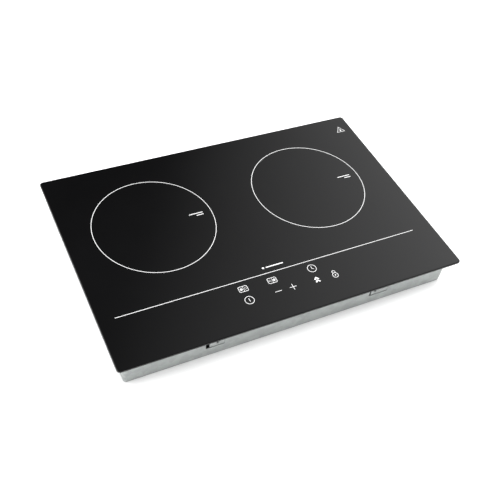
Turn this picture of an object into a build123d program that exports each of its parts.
from build123d import *
import os
from math import cos, radians, sin, sqrt

# Built-in induction cooktop with two zones, in millimetres.
# Origin: centre of the casing's flat underside. +X to the cook's right, +Y to the back, +Z up.

# ---- driving dimensions ----
GLASS_W = 590.0
GLASS_D = 394.0
GLASS_T = 4.0
GLASS_CORNER_R = 6.0
TOTAL_H = 58.0
PAN_W = 562.0
PAN_D = 364.0
PAN_CORNER_R = 4.5
SHEET = 0.8  # casing steel
FRAME_T = 1.0  # support frame steel
BEAD_T = 1.2  # silicone between frame and glass
SEAL_T = 2.5  # foam strip between glass and worktop

# ---- heights worked out from them ----
GLASS_Z = TOTAL_H - GLASS_T  # glass underside
FRAME_TOP = GLASS_Z - BEAD_T
PAN_TOP = FRAME_TOP - FRAME_T

# ---- inner faces of the casing walls ----
WALL_X = PAN_W / 2 - SHEET
WALL_Y = PAN_D / 2 - SHEET

# ---- cooking zones ----
ZONES = {"left": (-149.4, 45.0), "right": (137.1, 45.0)}
EXIT_SIDE = {"left": 1, "right": -1}  # leads leave each coil towards the gap between the coils
TRAY_R = 97.0
TRAY_Z = (37.5, 38.7)
POST_RING_R = 84.0
POST_ANGLES = (11.25, 123.75, 236.25)
POST_R = 2.5
POST_TOP = 40.3
POST_FLANGE_R = 7.0
POST_FLANGE_TOP = 2.4
POST_FIT = 0.05  # radial clearance of a tray hole on its post
SPRING_R = 5.0
SPRING_WIRE_R = 0.6
FORMER_Z = 44.0  # underside of the coil former's disc
FORMER_T = 1.2
FORMER_R = 96.0
FORMER_TOP = 52.0
FERRITE_H = 4.0
WIRE_PITCH = 3.6
WIRE_W = 3.1
WIRE_TURNS = 18
WIRE_H = 3.5
WIRE_INNER_R = 25.0

# ---- front hooks: spans along X of the left and the right one ----
HOOK_SLOTS = ((-154.3, -123.6), (133.4, 168.0))  # left of the tab the slot stays open
HOOK_TABS = ((-148.1, -121.6), (135.9, 170.0))
HOOK_CATCHES = ((-148.1, -124.4), (135.9, 167.2))
HOOK_NOTCHES = ((-137.3, -133.8), (142.0, 145.5))
HOOK_SLOT_Z = (19.1, 30.2)
HOOK_CATCH_Z = (21.3, 29.6)
HOOK_PROUD = 0.2
HOOK_NOTCH_H = 3.5

# ---- frame screws: side walls at these y, back wall at these x ----
SIDE_SCREW_Y = (-110.0, 110.0)
BACK_SCREW_X = (-60.0, 150.0)
FRAME_SCREW_Z = 40.0
FRAME_SCREW_R = 1.9

# ---- holes for the worktop clamps ----
CLAMP_SPACING_X = 520.0
CLAMP_SPACING_Y = 330.0
CLAMP_HOLE_R = 2.1

# ---- mains inlet in the back wall ----
INLET_X = -150.0
INLET_Z = 22.0
INLET_OPENING = (34.0, 26.0)
INLET_BORE_R = 5.0
INLET_SEAT_R = 9.0

# ---- blower ----
FAN_X = -6.0
FAN_Y = 116.0
SCROLL_R = 46.0
SCROLL_T = 1.5
FAN_FLOOR = SHEET
FAN_COVER_Z = 31.0
FAN_INLET_R = 32.0
OUTLET_Y = (126.0, 162.0)
OUTLET_X = 52.0
SHAFT_R = 1.5
BEARING_FIT = 0.05

# ---- boards ----
BOARD_Z = (9.0, 10.6)
POWER_BOARD_X = (48.0, 258.0)
POWER_BOARD_Y = (-75.0, 124.0)
FILTER_BOARD_X = (-262.0, -104.0)
FILTER_BOARD_Y = (0.0, 104.0)
BOARD_TOP = BOARD_Z[1]
POST_HOLE_R = 8.0
BOARD_SCREWS = ((56.0, -67.0), (250.0, -67.0), (56.0, 100.0), (250.0, 100.0),
                (-254.0, 8.0), (-112.0, 8.0), (-254.0, 96.0), (-112.0, 96.0))
HEAT_SINK_X = (72.0, 230.0)
HEAT_SINK_Y = (126.0, 168.0)
HEAT_SINK_TOP = 32.0

# ---- touch keys, as seen on the glass ----
KEY_ROWS = (-124.8, -147.5)
KEYS = ((-70.2, KEY_ROWS[0]), (-20.5, KEY_ROWS[0]), (50.7, KEY_ROWS[0]), (-70.2, KEY_ROWS[1]),
        (-20.5, KEY_ROWS[1]), (5.0, KEY_ROWS[1]), (47.4, KEY_ROWS[1]), (79.9, KEY_ROWS[1]))
TOUCH_BOARD_X = (-96.0, 96.0)
TOUCH_BOARD_Y = (-172.0, -112.0)
TOUCH_BOARD_Z = (45.0, 46.6)

VENT_W = 4.0
VENT_PITCH = 8.0


# ---- helpers ----
def block(x, y, z):
    """A box between (low, high) pairs along X, Y and Z."""
    centre = ((x[0] + x[1]) / 2, (y[0] + y[1]) / 2, (z[0] + z[1]) / 2)
    return Pos(*centre) * Box(x[1] - x[0], y[1] - y[0], z[1] - z[0])


def disc(x, y, z, r, hole_r=0):
    """An upright cylinder between the heights z, with an optional hole."""
    middle = Pos(x, y, (z[0] + z[1]) / 2)
    solid = Cylinder(r, z[1] - z[0])
    if hole_r:
        solid -= Cylinder(hole_r, z[1] - z[0])
    return middle * solid


def rounded_plate(width, depth, z, corner_r):
    return Pos(0, 0, z[0]) * extrude(RectangleRounded(width, depth, corner_r), z[1] - z[0])


def around(centre, radius, angle):
    """The point at an angle on a circle."""
    return centre[0] + radius * cos(radians(angle)), centre[1] + radius * sin(radians(angle))


def group(pieces):
    """Separate solids kept side by side in one node."""
    return Compound([solid for piece in pieces for solid in piece.solids()])


def wire(points, bends, radius):
    """A round lead along straight runs joined by arcs."""
    path = FilletPolyline(*points, radius=bends)
    start = Plane(path @ 0, z_dir=path % 0)
    return sweep(start * Circle(radius), path)


def helix_spring(x, y, z, mean_r, wire_r, pitch):
    """A helical spring whose wire lies between the heights z."""
    path = Helix(pitch, z[1] - z[0] - 2 * wire_r, mean_r)
    start = Plane(path @ 0, z_dir=path % 0)
    return Pos(x, y, z[0] + wire_r) * sweep(start * Circle(wire_r), path, is_frenet=True)


def screw(length, shank_r, head_r, head_h):
    """A pan-head screw with a cross recess, head upwards, the head's underside at z 0."""
    body = Pos(0, 0, -length / 2) * Cylinder(shank_r, length)
    head = Pos(0, 0, head_h / 2) * Cylinder(head_r, head_h)
    head = fillet(head.edges().group_by(Axis.Z)[-1], head_h * 0.45)
    recess = Box(head_r, head_r * 0.22, head_h) + Box(head_r * 0.22, head_r, head_h)
    return body + head - Pos(0, 0, head_h) * recess


def save(node, shape):
    export_step(shape, f"parts/{node}.step")


def post_places():
    """Every coil post's place in plan."""
    return [around(centre, POST_RING_R, angle) for centre in ZONES.values() for angle in POST_ANGLES]


def post_clearance(z):
    return [disc(x, y, z, POST_HOLE_R) for x, y in post_places()]


# ---- glass, seal and frame ----
def make_glass_top():
    plate = rounded_plate(GLASS_W, GLASS_D, (GLASS_Z, TOTAL_H), GLASS_CORNER_R)
    plate = chamfer(plate.edges().group_by(Axis.Z)[-1], 1.0)
    return chamfer(plate.edges().group_by(Axis.Z)[0], 0.4)


def make_edge_seal():
    z = (GLASS_Z - SEAL_T, GLASS_Z)
    outer = rounded_plate(GLASS_W - 4, GLASS_D - 4, z, GLASS_CORNER_R - 1)
    return outer - rounded_plate(PAN_W + 10, PAN_D + 6, z, PAN_CORNER_R)


def make_bond_bead():
    z = (FRAME_TOP, GLASS_Z)
    outer = rounded_plate(PAN_W - 8, PAN_D - 8, z, PAN_CORNER_R)
    return outer - rounded_plate(PAN_W - 22, PAN_D - 22, z, PAN_CORNER_R)


def side_screw_frames():
    """(place, direction out of the casing) of each frame screw."""
    sides = [((side * PAN_W / 2, y, FRAME_SCREW_Z), (side, 0, 0))
             for side in (-1, 1) for y in SIDE_SCREW_Y]
    back = [((x, PAN_D / 2, FRAME_SCREW_Z), (0, 1, 0)) for x in BACK_SCREW_X]
    return sides + back


def hook(tab_x, catch_x, notch_x):
    """A front tab behind the slot, with a notched catch that comes out through it."""
    tab_y = (-WALL_Y, -WALL_Y + FRAME_T)
    tab = block(tab_x, tab_y, (HOOK_CATCH_Z[0], PAN_TOP + FRAME_T / 2))
    catch_y = (-PAN_D / 2 - HOOK_PROUD, tab_y[1])
    catch = block(catch_x, catch_y, HOOK_CATCH_Z)
    notch_z = (HOOK_CATCH_Z[1] - HOOK_NOTCH_H, HOOK_CATCH_Z[1])
    return tab + catch - block(notch_x, catch_y, notch_z)


def make_support_frame():
    ring = rounded_plate(PAN_W, PAN_D, (PAN_TOP, FRAME_TOP), PAN_CORNER_R)
    ring -= rounded_plate(PAN_W - 36, PAN_D - 36, (PAN_TOP, FRAME_TOP), PAN_CORNER_R)
    tab_z = (FRAME_SCREW_Z - 8, PAN_TOP + FRAME_T / 2)
    for side in (-1, 1):
        inner = sorted((side * WALL_X, side * (WALL_X - FRAME_T)))
        for y in SIDE_SCREW_Y:
            ring += block(inner, (y - 12, y + 12), tab_z)
    for x in BACK_SCREW_X:
        ring += block((x - 12, x + 12), (WALL_Y - FRAME_T, WALL_Y), tab_z)
    for place, direction in side_screw_frames():
        ring -= Plane(place, z_dir=direction) * Cylinder(FRAME_SCREW_R, 12)
    for spans in zip(HOOK_TABS, HOOK_CATCHES, HOOK_NOTCHES):
        ring += hook(*spans)
    return ring


def make_frame_screws():
    one = screw(6.0, FRAME_SCREW_R, 4.0, 2.4)
    return group([Plane(place, z_dir=direction) * one for place, direction in side_screw_frames()])


# ---- casing ----
def inlet_vents():
    """Slots under the blower, inside a circle."""
    slots = []
    for row in range(-4, 5):
        offset = row * VENT_PITCH
        half = sqrt(38.0**2 - offset**2)
        for side in (-1, 1):
            middle = side * (half + 3) / 2
            slot = SlotOverall(half - 3, VENT_W)
            slots.append(Pos(FAN_X + middle, FAN_Y + offset, 0) * extrude(slot, SHEET))
    return slots


def outlet_vents():
    """Slots behind the heat sink, in the bottom and in the back wall."""
    slots = []
    for step in range(4):
        x = 239.0 + step * VENT_PITCH
        slots.append(Pos(x, 139, 0) * extrude(SlotOverall(38, VENT_W, rotation=90), SHEET))
    for step in range(8):
        x = 206.0 + step * VENT_PITCH
        wall = Plane((x, PAN_D / 2, 21), x_dir=(1, 0, 0), z_dir=(0, -1, 0))
        slots.append(extrude(wall * SlotOverall(24, VENT_W, rotation=90), SHEET))
    return slots


def front_vents():
    """A row of slots in the bottom near the front, under the touch board."""
    return [Pos(-60 + step * VENT_PITCH, -140, 0) * extrude(SlotOverall(36, VENT_W, rotation=90), SHEET)
            for step in range(16)]


def clamp_holes():
    return [disc(x * CLAMP_SPACING_X / 2, y * CLAMP_SPACING_Y / 2, (0, SHEET), CLAMP_HOLE_R)
            for x in (-1, 1) for y in (-1, 1)]


def stiffening_beads():
    """Shallow ribs pressed up from the bottom sheet, as (x, y) ranges."""
    return (((-255, -225), (-150, -30)), ((-200, -90), (-150, -130)), ((150, 250), (-150, -130)))


def make_bottom_pan():
    outer = rounded_plate(PAN_W, PAN_D, (0, PAN_TOP), PAN_CORNER_R)
    outer = fillet(outer.edges().group_by(Axis.Z)[0], 1.2)
    pan = outer - rounded_plate(2 * WALL_X, 2 * WALL_Y, (SHEET, PAN_TOP), PAN_CORNER_R - SHEET)
    for x, y in stiffening_beads():
        pan += block(x, y, (SHEET / 2, SHEET + 1.2))
        pan -= block((x[0] + 1.5, x[1] - 1.5), (y[0] + 1.5, y[1] - 1.5), (0, 1.2))
    for slot in inlet_vents() + outlet_vents() + front_vents() + clamp_holes():
        pan -= slot
    for slot_x in HOOK_SLOTS:
        pan -= block(slot_x, (-PAN_D / 2, -WALL_Y), HOOK_SLOT_Z)
    for place, direction in side_screw_frames():
        pan -= Plane(place, z_dir=direction) * Cylinder(FRAME_SCREW_R + 0.3, 4)
    half_w = INLET_OPENING[0] / 2
    half_h = INLET_OPENING[1] / 2
    inlet_z = (INLET_Z - half_h, INLET_Z + half_h)
    return pan - block((INLET_X - half_w, INLET_X + half_w), (WALL_Y, PAN_D / 2), inlet_z)


def make_inlet_plate():
    """A plastic plate that fills the opening in the back wall and holds the grommet."""
    half_w = INLET_OPENING[0] / 2
    half_h = INLET_OPENING[1] / 2
    face = block((INLET_X - half_w - 3, INLET_X + half_w + 3), (PAN_D / 2, PAN_D / 2 + 2),
                 (INLET_Z - half_h - 3, INLET_Z + half_h + 3))
    face = fillet(face.edges().filter_by(Axis.Y), 3)
    neck = block((INLET_X - half_w, INLET_X + half_w), (WALL_Y - 3, PAN_D / 2),
                 (INLET_Z - half_h, INLET_Z + half_h))
    seat = Plane((INLET_X, PAN_D / 2, INLET_Z), z_dir=(0, 1, 0)) * Cylinder(INLET_SEAT_R, 20)
    return face + neck - seat


def make_cable_grommet():
    """A rubber ring for the mains lead, with a collar outside and one inside the plate."""
    outside_y = PAN_D / 2 + 2
    inside_y = WALL_Y - 3
    axis = Plane((INLET_X, 0, INLET_Z), x_dir=(1, 0, 0), z_dir=(0, 1, 0))
    length = outside_y - inside_y
    barrel = Pos(0, 0, inside_y + length / 2) * Cylinder(INLET_SEAT_R, length)
    collar_in = Pos(0, 0, inside_y - 1) * Cylinder(INLET_SEAT_R + 2, 2)
    collar_out = Pos(0, 0, outside_y + 1) * Cylinder(INLET_SEAT_R + 2, 2)
    collar_out = fillet(collar_out.edges().group_by(Axis.Z)[-1], 1)
    bore = Pos(0, 0, inside_y + length / 2) * Cylinder(INLET_BORE_R, length + 8)
    return axis * (barrel + collar_in + collar_out - bore)


# ---- coil posts and springs ----
def make_coil_posts():
    posts = []
    for x, y in post_places():
        flange = disc(x, y, (SHEET, POST_FLANGE_TOP), POST_FLANGE_R)
        shaft = disc(x, y, (POST_FLANGE_TOP, POST_TOP), POST_R)
        shaft = chamfer(shaft.edges().group_by(Axis.Z)[-1], 0.6)
        posts.append(flange + shaft)
    return group(posts)


def make_coil_springs(centre):
    z = (POST_FLANGE_TOP, TRAY_Z[0] - 0.3)
    places = [around(centre, POST_RING_R, angle) for angle in POST_ANGLES]
    return group([helix_spring(x, y, z, SPRING_R, SPRING_WIRE_R, 5.2) for x, y in places])


# ---- coil, built about its own centre and then placed ----
FERRITE_ANGLES = [45 * step for step in range(8)]
RIB_ANGLES = [22.5 + 45 * step for step in range(8)]
FOOT_ANGLES = (67.5, 202.5, 337.5)
LEAD_ANGLE = 14.5  # between a ferrite bar and a rib
INNER_HOLE_R = 19.3  # where the winding's inner end passes down through the former


def lead_angle(side):
    """The direction in which the winding's inner end leaves the coil."""
    return -LEAD_ANGLE if EXIT_SIDE[side] > 0 else 180 + LEAD_ANGLE


def make_coil_tray(side):
    x, y = ZONES[side]
    tray = disc(x, y, TRAY_Z, TRAY_R, 12)
    for angle in POST_ANGLES:
        post_x, post_y = around((x, y), POST_RING_R, angle)
        tray -= disc(post_x, post_y, TRAY_Z, POST_R + POST_FIT)
    for angle in RIB_ANGLES:
        slot = Pos(50, 0, TRAY_Z[0]) * extrude(SlotOverall(38, 3), TRAY_Z[1] - TRAY_Z[0])
        tray -= Pos(x, y, 0) * Rot(0, 0, angle) * slot
    return tray


def make_coil_former(side):
    floor = disc(0, 0, (FORMER_Z, FORMER_Z + FORMER_T), FORMER_R, 6)
    rim = disc(0, 0, (FORMER_Z, FORMER_TOP), FORMER_R, FORMER_R - 1.8)
    hub = disc(0, 0, (FORMER_Z, FORMER_TOP), 16, 14)
    former = floor + rim + hub
    for angle in RIB_ANGLES:
        former += Rot(0, 0, angle) * block((24, FORMER_R - 4), (-1, 1), (FORMER_Z - 3, FORMER_Z))
    for angle in FOOT_ANGLES:
        foot_x, foot_y = around((0, 0), POST_RING_R, angle)
        former += disc(foot_x, foot_y, (TRAY_Z[1], FORMER_Z), 5)
    facing = 0 if EXIT_SIDE[side] > 0 else 180
    notch = block((FORMER_R - 3, FORMER_R + 1), (-8, 8), (FORMER_Z + FORMER_T, FORMER_TOP))
    former -= Rot(0, 0, facing) * notch
    down = Rot(0, 0, lead_angle(side)) * disc(INNER_HOLE_R, 0, (FORMER_Z, FORMER_Z + FORMER_T), 2.2)
    return Pos(*ZONES[side], 0) * (former - down)


def make_ferrite_bars(centre):
    z = (FORMER_Z - FERRITE_H, FORMER_Z)
    bar = fillet(block((34, 82), (-6, 6), z).edges().filter_by(Axis.Z), 1)
    return group([Pos(*centre, 0) * Rot(0, 0, angle) * bar for angle in FERRITE_ANGLES])


def make_coil_winding(side):
    """One flat spiral of litz wire: half turns about two centres, so each turn widens by one pitch."""
    outer, inner = [], []
    for half in range(2 * WIRE_TURNS):
        radius = WIRE_INNER_R + half * WIRE_PITCH / 2
        upper = half % 2 == 0
        centre = (-WIRE_PITCH / 4, 0) if upper else (WIRE_PITCH / 4, 0)
        start = 0 if upper else 180
        outer.append(CenterArc(centre, radius + WIRE_W / 2, start, 180))
        inner.append(CenterArc(centre, radius - WIRE_W / 2, start, 180))
    ends = [Line(outer[0] @ 0, inner[0] @ 0), Line(outer[-1] @ 1, inner[-1] @ 1)]
    band = make_face(outer + inner + ends)
    coil = extrude(band, WIRE_H)
    facing = 0 if EXIT_SIDE[side] > 0 else 180
    return Pos(*ZONES[side], FORMER_Z + FORMER_T) * Rot(0, 0, facing) * coil


def make_insulation_sheet(centre):
    return disc(*centre, (FORMER_TOP, FORMER_TOP + 0.8), 94, 13)


def make_heat_sensor(centre):
    """A temperature sensor under a rubber cap that touches the glass."""
    base_z = FORMER_Z + FORMER_T
    base = disc(*centre, (base_z, base_z + 2), 13.5)
    neck = disc(*centre, (base_z + 2, GLASS_Z - 0.3), 8)
    neck = fillet(neck.edges().group_by(Axis.Z)[-1], 1.5)
    return base + neck


LEAD_R = 1.6
LEAD_BEND = 4.0
TERMINAL_X = 60.0
TERMINAL_Y = {"left": (4.0, 20.0), "right": (40.0, 56.0)}
LEAD_END_X = TERMINAL_X - 2
LEAD_END_Z = BOARD_TOP + 8
OUTER_END_Z = FORMER_Z + FORMER_T + WIRE_H / 2
INNER_END_Z = FORMER_Z - 2.3  # in the channel between the former and the tray


def make_coil_leads(side):
    """The winding's outer and inner ends, carried down to the power board's terminals."""
    x, y = ZONES[side]
    sign = EXIT_SIDE[side]
    outer_start = (x + sign * 90.6, y - sign * 2, OUTER_END_Z)
    outer_turn = (x + sign * 104, y - sign * 2, OUTER_END_Z)
    inner_x, inner_y = around((x, y), INNER_HOLE_R, lead_angle(side))
    turn_x, turn_y = around((x, y), 104, lead_angle(side))
    inner = [(inner_x, inner_y, OUTER_END_Z), (inner_x, inner_y, INNER_END_Z), (turn_x, turn_y, INNER_END_Z)]
    low_y, high_y = TERMINAL_Y[side]
    if side == "left":
        outer = [outer_start, outer_turn, (-40, 36, 26), (20, high_y, LEAD_END_Z)]
        inner += [(-43, 16, 20), (10, low_y, LEAD_END_Z)]
    else:
        outer = [outer_start, outer_turn, (32, 52, LEAD_END_Z), (44, high_y, LEAD_END_Z)]
        inner += [(33, 30, LEAD_END_Z), (44, low_y, LEAD_END_Z)]
    outer.append((LEAD_END_X, high_y, LEAD_END_Z))
    inner.append((LEAD_END_X, low_y, LEAD_END_Z))
    bends = [2.4] + [LEAD_BEND] * (len(inner) - 3)
    return group([wire(outer, LEAD_BEND, LEAD_R), wire(inner, bends, LEAD_R)])


# ---- blower ----
def scroll(grow, z):
    """The blower's outline: a round chamber with a straight outlet to the right."""
    chamber = Pos(FAN_X, FAN_Y) * Circle(SCROLL_R + grow)
    outlet_h = OUTLET_Y[1] - OUTLET_Y[0] + 2 * grow
    outlet = Pos((FAN_X + OUTLET_X) / 2, sum(OUTLET_Y) / 2) * Rectangle(OUTLET_X - FAN_X, outlet_h)
    return Pos(0, 0, z[0]) * extrude(chamber + outlet, z[1] - z[0])


def cover_screw_places():
    return [around((FAN_X, FAN_Y), SCROLL_R + 1.5, angle) for angle in (200, 265, 330)]


def make_blower_housing():
    z = (FAN_FLOOR, FAN_COVER_Z)
    housing = scroll(0, z) - scroll(-SCROLL_T, (FAN_FLOOR + SCROLL_T, FAN_COVER_Z))
    housing -= disc(FAN_X, FAN_Y, (FAN_FLOOR, FAN_FLOOR + SCROLL_T), FAN_INLET_R)
    inner = [edge + trim for edge, trim in zip(OUTLET_Y, (SCROLL_T, -SCROLL_T))]
    housing -= block((OUTLET_X - 4, OUTLET_X), inner, (FAN_FLOOR + SCROLL_T, FAN_COVER_Z))
    for x, y in cover_screw_places():
        housing += disc(x, y, z, 3) - scroll(-SCROLL_T, z)
        housing -= disc(x, y, (FAN_COVER_Z - 8, FAN_COVER_Z), 1.2)
    return housing


def make_blower_cover():
    """The lid, whose middle tube holds the bearing and the motor."""
    z = (FAN_COVER_Z, FAN_COVER_Z + SCROLL_T)
    lid = scroll(0, z)
    for x, y in cover_screw_places():
        lid += disc(x, y, z, 3)
        lid -= disc(x, y, z, 1.2)
    return lid + disc(FAN_X, FAN_Y, (12, FAN_COVER_Z), 5, 4)


def make_blower_screws():
    one = screw(7.0, 1.2, 2.4, 1.2)
    return group([Pos(x, y, FAN_COVER_Z + SCROLL_T) * one for x, y in cover_screw_places()])


def make_motor_stator():
    """A laminated star with a wound coil on each tooth."""
    stator = disc(FAN_X, FAN_Y, (19, 27), 8, 5)
    pieces = []
    for angle in range(0, 360, 60):
        tooth = Pos(FAN_X, FAN_Y, 0) * Rot(0, 0, angle) * block((7, 14), (-1.5, 1.5), (19, 27))
        tip = Pos(FAN_X, FAN_Y, 0) * Rot(0, 0, angle) * block((13, 16), (-5, 5), (19, 27))
        stator += tooth + tip
    turns = block((8.4, 12.6), (-3, 3), (17.5, 28.5)) - block((8.4, 12.6), (-1.5, 1.5), (19, 27))
    for angle in range(0, 360, 60):
        pieces.append(Pos(FAN_X, FAN_Y, 0) * Rot(0, 0, angle) * turns)
    return group([stator] + pieces)


def make_shaft_bearing():
    return disc(FAN_X, FAN_Y, (13, 29), 4, SHAFT_R + BEARING_FIT)


def make_fan_shaft():
    return disc(FAN_X, FAN_Y, (8, 29.5), SHAFT_R)


def make_rotor_magnet():
    return disc(FAN_X, FAN_Y, (15, 28), 19.7, 17.2)


def make_impeller():
    """Hub cup, back plate, blades and lower ring of the blower's wheel."""
    cup = disc(FAN_X, FAN_Y, (8, 10), 21.5, SHAFT_R) + disc(FAN_X, FAN_Y, (8, 28), 21.5, 19.7)
    plate = disc(FAN_X, FAN_Y, (26.5, 28), 39, 20)
    ring = disc(FAN_X, FAN_Y, (5, 6.5), 39, 34)
    wheel = cup + plate + ring
    for step in range(24):
        blade = Rot(0, 0, 15 * step) * Pos(33.5, 0, 0) * Rot(0, 0, 35)
        wheel += Pos(FAN_X, FAN_Y, 0) * blade * block((-5, 5), (-0.6, 0.6), (5.5, 27))
    return wheel


def make_air_duct():
    """A short tunnel from the blower to the heat sink's fins."""
    x = (OUTLET_X, HEAT_SINK_X[0] - 1)
    outer = block(x, (OUTLET_Y[0], HEAT_SINK_Y[1] + 1), (FAN_FLOOR + 2, FAN_COVER_Z + SCROLL_T))
    inner = block(x, (OUTLET_Y[0] + 1.2, HEAT_SINK_Y[1] - 0.2), (FAN_FLOOR + 3.2, FAN_COVER_Z))
    return outer - inner


def make_fan_lead():
    start = (FAN_X - 14, FAN_Y - 40, FAN_COVER_Z + SCROLL_T + 0.8)
    route = [start, (FAN_X - 14, FAN_Y - 56, start[2]), (FAN_X - 4, 50, 26), (30, 32, 14), (50, 30, 14)]
    plug = block((50, 58), (26, 34), (BOARD_TOP, BOARD_TOP + 6))
    return group([wire(route, 6.0, 0.8), plug])


# ---- boards and what stands on them ----
def make_board_carrier():
    """One moulded tray under both boards, with a boss for each screw and two ribs under the heat sink."""
    z = (SHEET, 2.8)
    tray = block((44, 262), (-79, 118), z) + block((54, 234), (118, 172), z)
    tray += block((-266, -100), (-4, 108), z) + block((-100, 44), (-4, 30), z)
    for x, y in BOARD_SCREWS:
        tray += disc(x, y, (SHEET, BOARD_Z[0]), 4)
        tray -= disc(x, y, (2.0, BOARD_Z[0]), 1.5)
    for x in (84, 214):
        tray += block((x, x + 4), (HEAT_SINK_Y[0] + 4, HEAT_SINK_Y[1] - 4), (2.0, BOARD_Z[0]))
    for hole in post_clearance((SHEET, 3)):
        tray -= hole
    return tray


def board(x, y, z):
    plate = block(x, y, z)
    for screw_x, screw_y in BOARD_SCREWS:
        plate -= disc(screw_x, screw_y, z, 1.7)
    for hole in post_clearance(z):
        plate -= hole
    return plate


def make_power_board():
    return board(POWER_BOARD_X, POWER_BOARD_Y, BOARD_Z)


def make_filter_board():
    return board(FILTER_BOARD_X, FILTER_BOARD_Y, BOARD_Z)


def make_board_screws():
    one = screw(7.0, 1.5, 3.0, 1.8)
    return group([Pos(x, y, BOARD_TOP) * one for x, y in BOARD_SCREWS])


def make_heat_sink():
    """An extruded aluminium block: an upright spine with level fins."""
    sink = block(HEAT_SINK_X, (HEAT_SINK_Y[0], HEAT_SINK_Y[0] + 5), (BOARD_Z[0], HEAT_SINK_TOP))
    fins = 7
    fin_t = 1.5
    pitch = (HEAT_SINK_TOP - BOARD_Z[0] - fin_t) / (fins - 1)
    for step in range(fins):
        z = BOARD_Z[0] + step * pitch
        sink += block(HEAT_SINK_X, (HEAT_SINK_Y[0] + 4, HEAT_SINK_Y[1]), (z, z + fin_t))
    return sink


def upright_package(x, width, legs):
    """A power package against the heat sink's spine, on legs down to the board."""
    face_y = HEAT_SINK_Y[0]
    body = block((x - width / 2, x + width / 2), (face_y - 5, face_y), (14, 31))
    body = chamfer(body.edges().group_by(Axis.Y)[0], 0.8)
    for step in range(legs):
        leg_x = x + (step - (legs - 1) / 2) * 5
        body += block((leg_x - 0.6, leg_x + 0.6), (face_y - 3.4, face_y - 2.6), (BOARD_TOP, 14.5))
    return body


def make_power_transistors():
    return group([upright_package(x, 16, 3) for x in (108, 131, 154, 177)])


def make_bridge_rectifier():
    return upright_package(206, 26, 4)


def film_capacitor(x, y, size, z=BOARD_TOP):
    body = block((x - size[0] / 2, x + size[0] / 2), (y - size[1] / 2, y + size[1] / 2), (z, z + size[2]))
    return fillet(body.edges().group_by(Axis.Z)[-1], 1.2)


def make_film_capacitors():
    return group([film_capacitor(x, -52, (32, 14, 20)) for x in (86, 124, 162, 200)])


def make_bus_capacitors():
    cans = []
    for y in (-50, -26):
        can = disc(236, y, (BOARD_TOP, BOARD_TOP + 20), 8)
        can = fillet(can.edges().group_by(Axis.Z)[-1], 1)
        cans.append(can - Pos(236, y, BOARD_TOP + 20) * (Box(10, 0.8, 0.8) + Box(0.8, 10, 0.8)))
    return group(cans)


def ring_choke(x, y, core_r, count):
    """A ring core standing on the board with wire loops round it."""
    z = (BOARD_TOP + 2, BOARD_TOP + 12)
    core = disc(x, y, z, core_r, core_r - 7)
    pieces = [core]
    loop = block((core_r - 8.6, core_r + 1.6), (-0.8, 0.8), (z[0] - 1.6, z[1] + 1.6))
    loop -= disc(0, 0, z, core_r, core_r - 7)
    for step in range(count):
        pieces.append(Pos(x, y, 0) * Rot(0, 0, 360 / count * (step + 0.5)) * loop)
    return group(pieces)


def make_bus_choke():
    return ring_choke(150, 20, 17, 14)


def make_filter_choke():
    return ring_choke(-150, 62, 15, 12)


def make_filter_capacitors():
    boxes = [film_capacitor(x, 30, (26, 13, 18)) for x in (-230, -190)]
    return group(boxes + [film_capacitor(-190, 84, (18, 8, 14))])


def make_mains_fuse():
    """A glass fuse between two clips."""
    axis_z = BOARD_TOP + 5
    tube = Pos(-236, 84, axis_z) * Rot(0, 90, 0) * Cylinder(2.5, 14)
    pieces = [tube]
    for side in (-1, 1):
        pieces.append(Pos(-236 + side * 9, 84, axis_z) * Rot(0, 90, 0) * Cylinder(3, 4))
        clip_x = -236 + side * 9
        pieces.append(block((clip_x - 1.5, clip_x + 1.5), (81, 87), (BOARD_TOP, axis_z - 3)))
    return group(pieces)


def make_coil_terminals():
    """Screw terminals for the coil leads: a plastic foot with a brass block on it."""
    pieces = []
    for y in TERMINAL_Y["left"] + TERMINAL_Y["right"]:
        foot = block((TERMINAL_X - 7, TERMINAL_X + 7), (y - 5.5, y + 5.5), (BOARD_TOP, BOARD_TOP + 4))
        brass = block((TERMINAL_X - 5, TERMINAL_X + 5), (y - 4, y + 4), (BOARD_TOP + 4, BOARD_TOP + 12))
        brass -= Pos(TERMINAL_X - 3, y, BOARD_TOP + 8) * Rot(0, 90, 0) * Cylinder(LEAD_R + 0.2, 10)
        pieces += [foot, brass]
    return group(pieces)


def make_control_chips():
    chips = []
    z = (BOARD_TOP, BOARD_TOP + 2)
    small = ((200, 20), (200, 34), (120, 90), (170, 90))
    for x, y, width, depth in [(120, -10, 14, 14)] + [(x, y, 10, 6) for x, y in small]:
        chip = block((x - width / 2, x + width / 2), (y - depth / 2, y + depth / 2), z)
        chips.append(chamfer(chip.edges().group_by(Axis.Z)[-1], 0.3))
    return group(chips)


# ---- mains side ----
TERMINAL_BLOCK_X = (-250.0, -190.0)
TERMINAL_BLOCK_Y = (140.0, 162.0)
TERMINAL_BLOCK_TOP = 20.0
POLE_PITCH = 11.0


def pole_places():
    middle = sum(TERMINAL_BLOCK_X) / 2
    return [middle + (step - 2) * POLE_PITCH for step in range(5)]


def make_terminal_block():
    x, y = TERMINAL_BLOCK_X, TERMINAL_BLOCK_Y
    body = block(x, y, (SHEET, TERMINAL_BLOCK_TOP))
    body -= block(x, (y[0], y[0] + 5), (12, TERMINAL_BLOCK_TOP))
    body -= block(x, (y[1] - 5, y[1]), (12, TERMINAL_BLOCK_TOP))
    for pole_x in pole_places():
        body -= disc(pole_x, sum(y) / 2, (8, TERMINAL_BLOCK_TOP), 3)
        body -= Pos(pole_x, sum(y) / 2, 9) * Rot(90, 0, 0) * Cylinder(2, y[1] - y[0])
    return body


def make_terminal_screws():
    one = screw(5.0, 2.0, 2.9, 2.0)
    y = sum(TERMINAL_BLOCK_Y) / 2
    return group([Pos(x, y, 17.5) * one for x in pole_places()])


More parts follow.
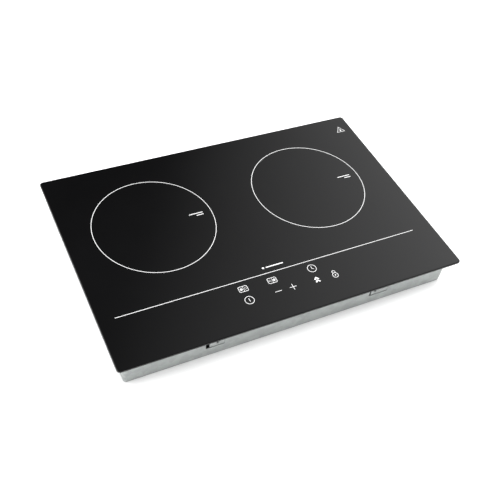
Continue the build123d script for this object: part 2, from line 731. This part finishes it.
def make_earth_screw():
    washer = disc(-160, 150, (SHEET, SHEET + 1), 5, 2)
    return group([washer, Pos(-160, 150, SHEET + 1) * screw(0.9, 2.0, 3.6, 2.6)])


def make_mains_wires():
    """Two leads from the terminal block to the filter board."""
    leads = []
    for pole_x, board_x in zip(pole_places()[1:3], (-226, -212)):
        route = [(pole_x, TERMINAL_BLOCK_Y[0] + 1, 9), (pole_x, 126, 9), (board_x, 112, 22)]
        route += [(board_x, 98, 22), (board_x, 98, BOARD_TOP)]
        leads.append(wire(route, 4.0, 1.3))
    return group(leads)


# ---- touch controls ----
def make_touch_carrier():
    x = (TOUCH_BOARD_X[0] - 4, TOUCH_BOARD_X[1] + 4)
    y = (TOUCH_BOARD_Y[0] - 4, TOUCH_BOARD_Y[1] + 4)
    tray = block(x, y, (41, TOUCH_BOARD_Z[1]))
    tray -= block(TOUCH_BOARD_X, TOUCH_BOARD_Y, (TOUCH_BOARD_Z[0], TOUCH_BOARD_Z[1]))
    tray -= block((x[0] + 8, x[1] - 8), (y[0] + 8, y[1] - 8), (41, TOUCH_BOARD_Z[0]))
    for leg_x in (x[0] + 4, x[1] - 4):
        for leg_y in (y[0] + 4, y[1] - 4):
            tray += disc(leg_x, leg_y, (SHEET, 41), 4)
    return tray


def make_touch_board():
    return block(TOUCH_BOARD_X, TOUCH_BOARD_Y, TOUCH_BOARD_Z)


def make_touch_springs():
    """One sensing spring under each key, from the board to the glass."""
    springs = []
    for x, y in KEYS:
        coil = helix_spring(x, y, (TOUCH_BOARD_Z[1], GLASS_Z - 0.6), 4.6, 0.4, 2.2)
        springs.append(coil)
        springs.append(disc(x, y, (GLASS_Z - 0.6, GLASS_Z), 5.2))
    return group(springs)


def make_led_displays():
    modules = []
    z = (TOUCH_BOARD_Z[1], TOUCH_BOARD_Z[1] + 6.4)
    for x in (-45.4, 5.0, 28.0):
        module = block((x - 10, x + 10), (KEY_ROWS[0] - 6, KEY_ROWS[0] + 6), z)
        modules.append(fillet(module.edges().filter_by(Axis.Z), 1))
    return group(modules)


def make_buzzer():
    base_z = TOUCH_BOARD_Z[1]
    can = disc(-45.4, KEY_ROWS[1], (base_z, base_z + 5), 6)
    return can - disc(-45.4, KEY_ROWS[1], (base_z + 3, base_z + 5), 1)


def make_ribbon_cable():
    """A flat cable from the touch board down to the power board, with a plug at each end."""
    x = (62.0, 76.0)
    y_touch = TOUCH_BOARD_Y[1] - 9
    y_power = POWER_BOARD_Y[0] + 8
    path = FilletPolyline((y_touch + 3, TOUCH_BOARD_Z[1] + 2.5), (y_touch + 22, TOUCH_BOARD_Z[1] + 2.5),
                          (y_touch + 22, BOARD_TOP + 3), (y_power - 3, BOARD_TOP + 3), radius=6)
    strip = Plane.YZ.offset(x[0]) * trace(path, 0.8)
    cable = extrude(strip, x[1] - x[0])
    plug_x = (x[0] - 1, x[1] + 1)
    upper = block(plug_x, (y_touch - 3, y_touch + 3), (TOUCH_BOARD_Z[1], TOUCH_BOARD_Z[1] + 5))
    lower = block(plug_x, (y_power - 3, y_power + 3), (BOARD_TOP, BOARD_TOP + 6))
    return group([cable, upper, lower])


# ---- the whole cooktop ----
os.makedirs("parts", exist_ok=True)

SINGLE_NODES = {
    "glass_top": make_glass_top,
    "edge_seal": make_edge_seal,
    "bond_bead": make_bond_bead,
    "support_frame": make_support_frame,
    "frame_screws": make_frame_screws,
    "bottom_pan": make_bottom_pan,
    "inlet_plate": make_inlet_plate,
    "cable_grommet": make_cable_grommet,
    "coil_posts": make_coil_posts,
    "blower_housing": make_blower_housing,
    "blower_cover": make_blower_cover,
    "blower_screws": make_blower_screws,
    "motor_stator": make_motor_stator,
    "shaft_bearing": make_shaft_bearing,
    "fan_shaft": make_fan_shaft,
    "rotor_magnet": make_rotor_magnet,
    "impeller": make_impeller,
    "air_duct": make_air_duct,
    "fan_lead": make_fan_lead,
    "board_carrier": make_board_carrier,
    "board_screws": make_board_screws,
    "power_board": make_power_board,
    "filter_board": make_filter_board,
    "heat_sink": make_heat_sink,
    "power_transistors": make_power_transistors,
    "bridge_rectifier": make_bridge_rectifier,
    "film_capacitors": make_film_capacitors,
    "bus_capacitors": make_bus_capacitors,
    "bus_choke": make_bus_choke,
    "coil_terminals": make_coil_terminals,
    "control_chips": make_control_chips,
    "filter_choke": make_filter_choke,
    "filter_capacitors": make_filter_capacitors,
    "mains_fuse": make_mains_fuse,
    "terminal_block": make_terminal_block,
    "terminal_screws": make_terminal_screws,
    "earth_screw": make_earth_screw,
    "mains_wires": make_mains_wires,
    "touch_carrier": make_touch_carrier,
    "touch_board": make_touch_board,
    "touch_springs": make_touch_springs,
    "led_displays": make_led_displays,
    "buzzer": make_buzzer,
    "ribbon_cable": make_ribbon_cable,
}
for node, make in SINGLE_NODES.items():
    save(node, make())

for side, centre in ZONES.items():
    save(f"coil_tray_{side}", make_coil_tray(side))
    save(f"coil_former_{side}", make_coil_former(side))
    save(f"coil_winding_{side}", make_coil_winding(side))
    save(f"ferrite_bars_{side}", make_ferrite_bars(centre))
    save(f"insulation_sheet_{side}", make_insulation_sheet(centre))
    save(f"heat_sensor_{side}", make_heat_sensor(centre))
    save(f"coil_springs_{side}", make_coil_springs(centre))
    save(f"coil_leads_{side}", make_coil_leads(side))
